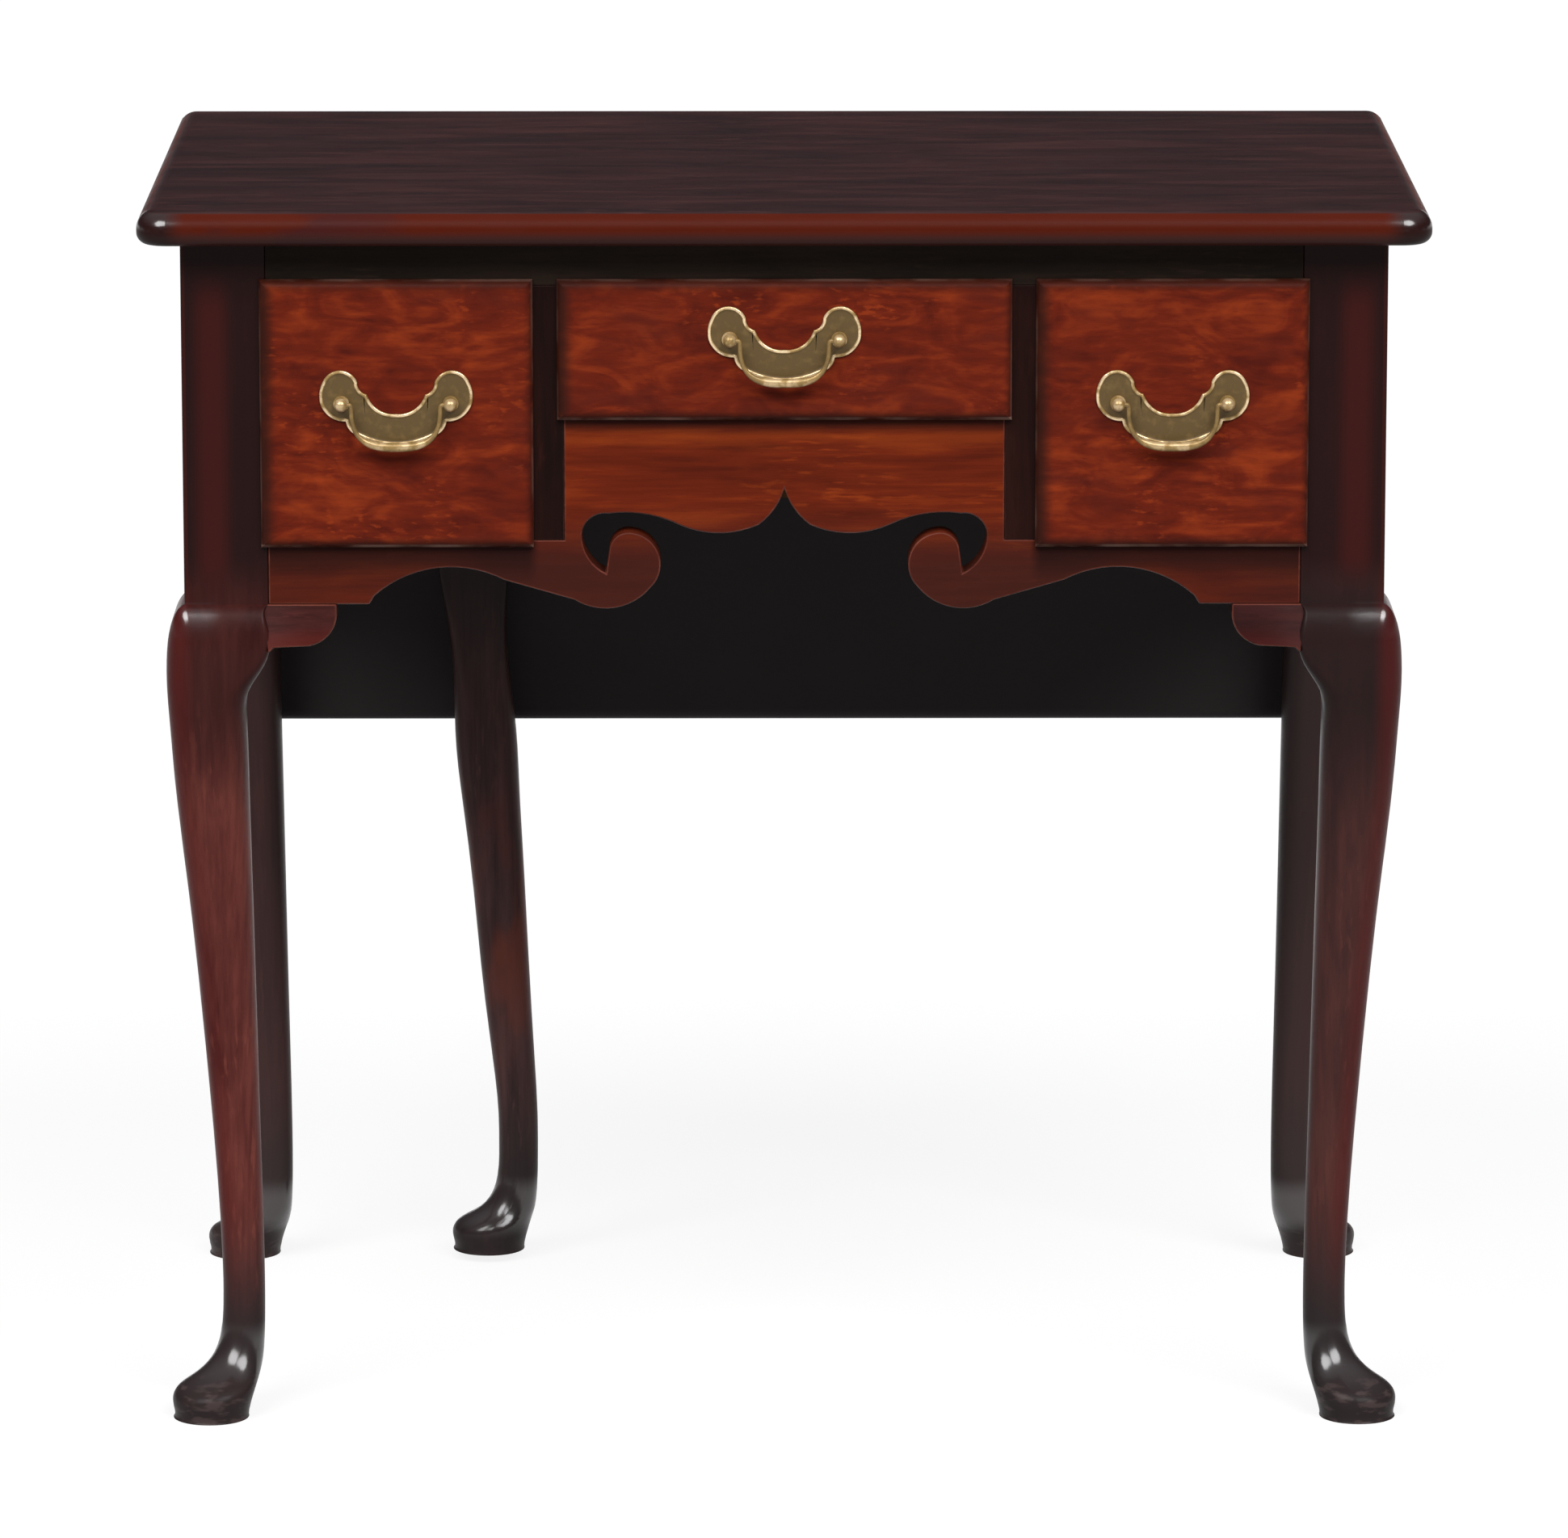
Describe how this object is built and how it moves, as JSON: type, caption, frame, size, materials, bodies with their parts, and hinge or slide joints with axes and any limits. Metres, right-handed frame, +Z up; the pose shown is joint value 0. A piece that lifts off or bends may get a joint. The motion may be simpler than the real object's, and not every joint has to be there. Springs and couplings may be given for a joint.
{
  "type": "lowboy",
  "caption": "Drop-leaf lowboy: lipped drawers over a scrolled apron on cabriole legs with pad feet, bat-wing handles, and a rear leaf held up by a swing leg.",
  "frame": {"origin": "on the floor under the middle of the object's box", "axes": "+X to the right along the top, +Y to the back, +Z up; the drawers face -Y"},
  "size_m": [0.76, 0.469, 0.736],
  "materials": {
    "top_mahogany": "polished",
    "case_mahogany": "polished",
    "drawer_front_mahogany": "polished",
    "apron_mahogany": "polished",
    "lining_wood": "bare",
    "aged_brass": "aged",
    "iron_hardware": "worn"
  },
  "bodies": {
    "case": {"top_board": "top_mahogany", "front_leg_left": "case_mahogany", "front_leg_right": "case_mahogany", "rear_leg_left": "case_mahogany", "rear_leg_right": "case_mahogany", "side_panel_left": "case_mahogany", "side_panel_right": "case_mahogany", "back_panel": "lining_wood", "front_top_rail": "case_mahogany", "drawer_divider_left": "case_mahogany", "drawer_divider_right": "case_mahogany", "apron": "apron_mahogany", "knee_brackets_front": "apron_mahogany", "knee_brackets_side": "case_mahogany", "drawer_partition_left": "lining_wood", "drawer_partition_right": "lining_wood", "side_drawer_bearers": "lining_wood", "center_drawer_bearers": "lining_wood", "drawer_guides": "lining_wood", "drawer_kickers": "lining_wood", "top_glue_blocks": "lining_wood", "gate_fixed_rail": "case_mahogany", "gate_hinge_pin": "iron_hardware", "hinge_plates_fixed": "iron_hardware", "hinge_pins": "iron_hardware", "hinge_screws_fixed": "iron_hardware"},
    "leaf": {"leaf_board": "top_mahogany", "hinge_plates_leaf": "iron_hardware", "hinge_screws_leaf": "iron_hardware"},
    "gate": {"gate_leg": "case_mahogany", "gate_rail": "case_mahogany"},
    "drawer_left": {"drawer_left_front": "drawer_front_mahogany", "drawer_left_side_left": "lining_wood", "drawer_left_side_right": "lining_wood", "drawer_left_back": "lining_wood", "drawer_left_bottom": "lining_wood", "drawer_left_handle_plate": "aged_brass", "drawer_left_handle_posts": "aged_brass", "drawer_left_handle_nuts": "iron_hardware"},
    "bail_left": {"bail_left": "aged_brass"},
    "drawer_center": {"drawer_center_front": "drawer_front_mahogany", "drawer_center_side_left": "lining_wood", "drawer_center_side_right": "lining_wood", "drawer_center_back": "lining_wood", "drawer_center_bottom": "lining_wood", "drawer_center_handle_plate": "aged_brass", "drawer_center_handle_posts": "aged_brass", "drawer_center_handle_nuts": "iron_hardware"},
    "bail_center": {"bail_center": "aged_brass"},
    "drawer_right": {"drawer_right_front": "drawer_front_mahogany", "drawer_right_side_left": "lining_wood", "drawer_right_side_right": "lining_wood", "drawer_right_back": "lining_wood", "drawer_right_bottom": "lining_wood", "drawer_right_handle_plate": "aged_brass", "drawer_right_handle_posts": "aged_brass", "drawer_right_handle_nuts": "iron_hardware"},
    "bail_right": {"bail_right": "aged_brass"}
  },
  "joints": [
    {"name": "drawer_left_slide", "type": "slide", "parent": "case", "child": "drawer_left", "axis": [0, -1, 0], "range_m": [0, 0.26]},
    {"name": "bail_left_swing", "type": "hinge", "parent": "drawer_left", "child": "bail_left", "pos_m": [-0.2285, -0.2242, 0.621], "axis": [-1, 0, 0], "range_deg": [0, 100]},
    {"name": "drawer_center_slide", "type": "slide", "parent": "case", "child": "drawer_center", "axis": [0, -1, 0], "range_m": [0, 0.26]},
    {"name": "bail_center_swing", "type": "hinge", "parent": "drawer_center", "child": "bail_center", "pos_m": [0, -0.2242, 0.659], "axis": [-1, 0, 0], "range_deg": [0, 100]},
    {"name": "drawer_right_slide", "type": "slide", "parent": "case", "child": "drawer_right", "axis": [0, -1, 0], "range_m": [0, 0.26]},
    {"name": "bail_right_swing", "type": "hinge", "parent": "drawer_right", "child": "bail_right", "pos_m": [0.2285, -0.2242, 0.621], "axis": [-1, 0, 0], "range_deg": [0, 100]},
    {"name": "leaf_hinge", "type": "hinge", "parent": "case", "child": "leaf", "pos_m": [0, 0.2155, 0.717], "axis": [1, 0, 0], "range_deg": [0, 90]},
    {"name": "gate_swing", "type": "hinge", "parent": "case", "child": "gate", "pos_m": [0.08, 0.1737, 0.65], "axis": [0, 0, -1], "range_deg": [0, 2.5]}
  ]
}
